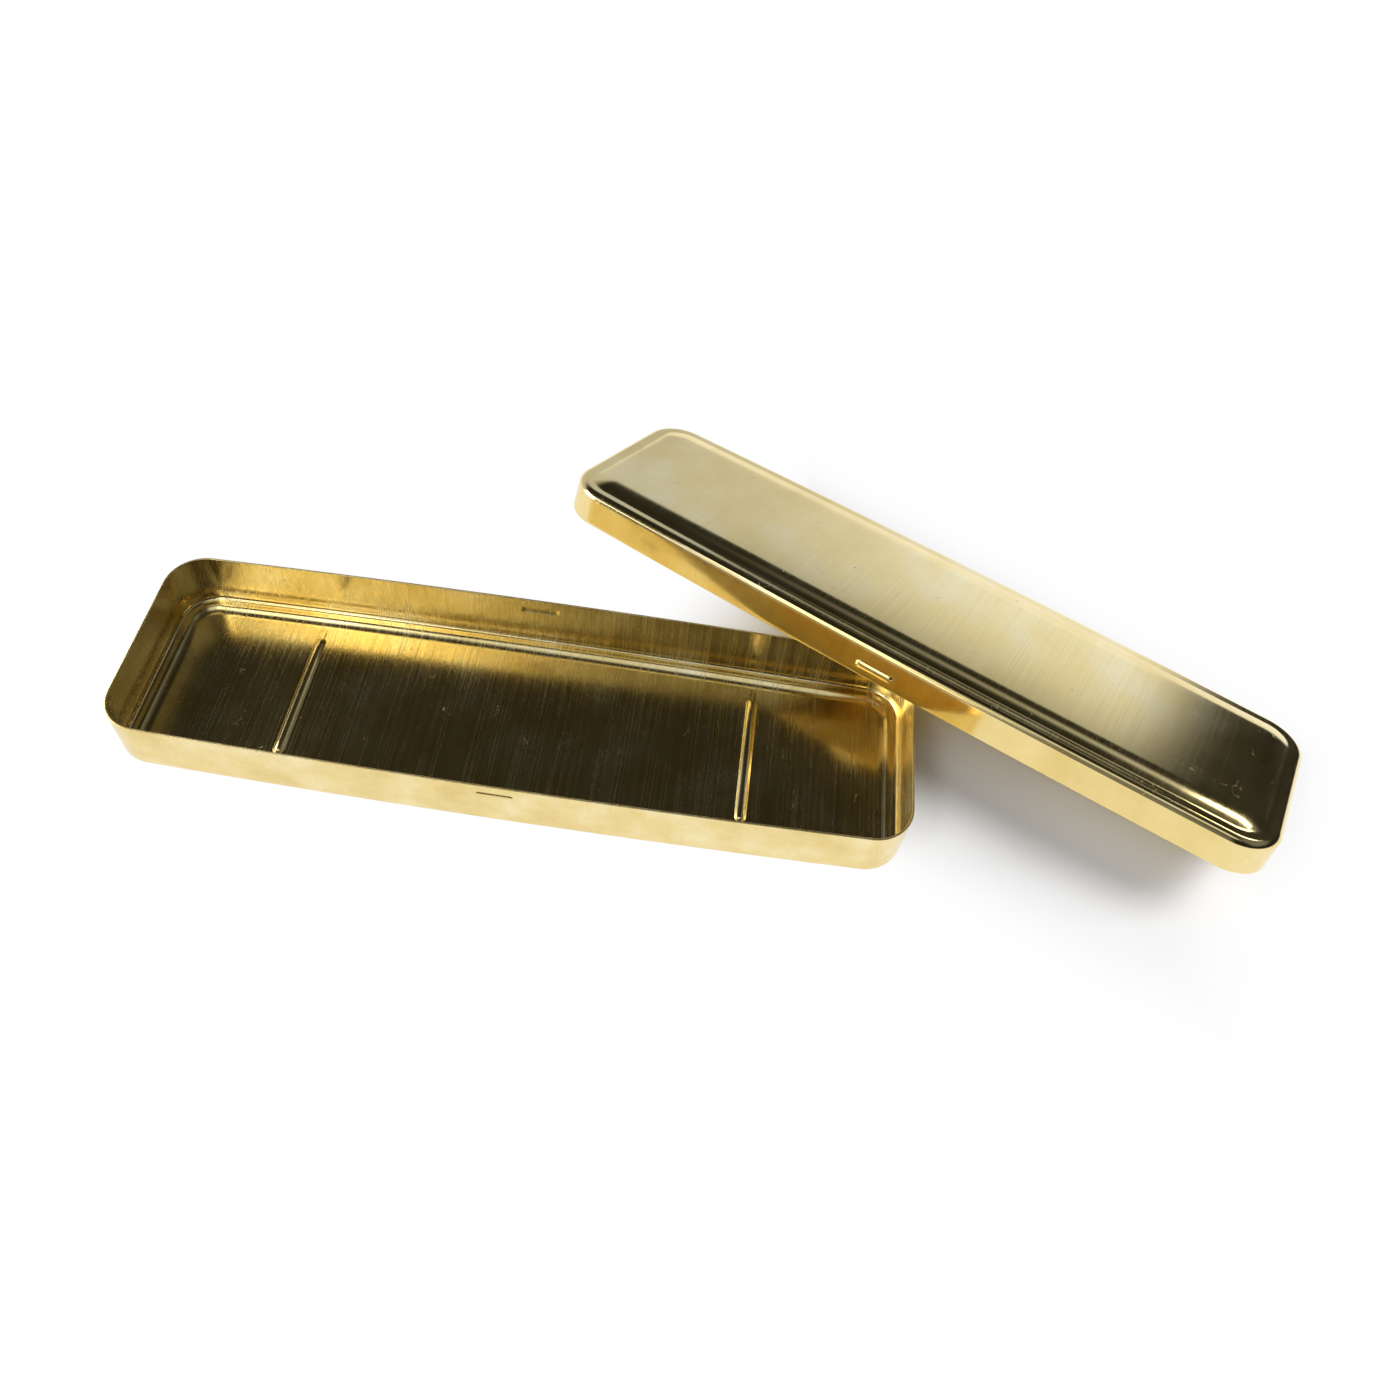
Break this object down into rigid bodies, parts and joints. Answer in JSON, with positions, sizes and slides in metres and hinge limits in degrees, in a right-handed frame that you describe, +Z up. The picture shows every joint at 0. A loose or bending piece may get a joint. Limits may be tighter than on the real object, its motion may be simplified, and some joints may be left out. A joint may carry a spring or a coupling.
{
  "type": "pen box",
  "caption": "Long shallow pen case pressed from brass sheet: a deep tray with floor ribs and a lift-off lid that leans across it.",
  "frame": {"origin": "middle of the flat panel under the tray, where it stands on the table", "axes": "+Z up, +X along the tray's length towards the side where the lid lies, +Y across the case, away from the viewer of the picture"},
  "size_m": [0.3011, 0.1416, 0.0267],
  "materials": {
    "tray_brass": "satin rolled brass, brushed across the case, fingerprints and fine scratches",
    "lid_brass": "satin rolled brass, brushed across the case, paler where it mirrors the room"
  },
  "bodies": {
    "tray": {"tray": "tray_brass"},
    "lid": {"lid": "lid_brass"}
  },
  "joints": [
    {"name": "lid_lift", "type": "slide", "parent": "tray", "child": "lid", "axis": [0, 0, 1], "range_m": [0, 0.06]}
  ]
}
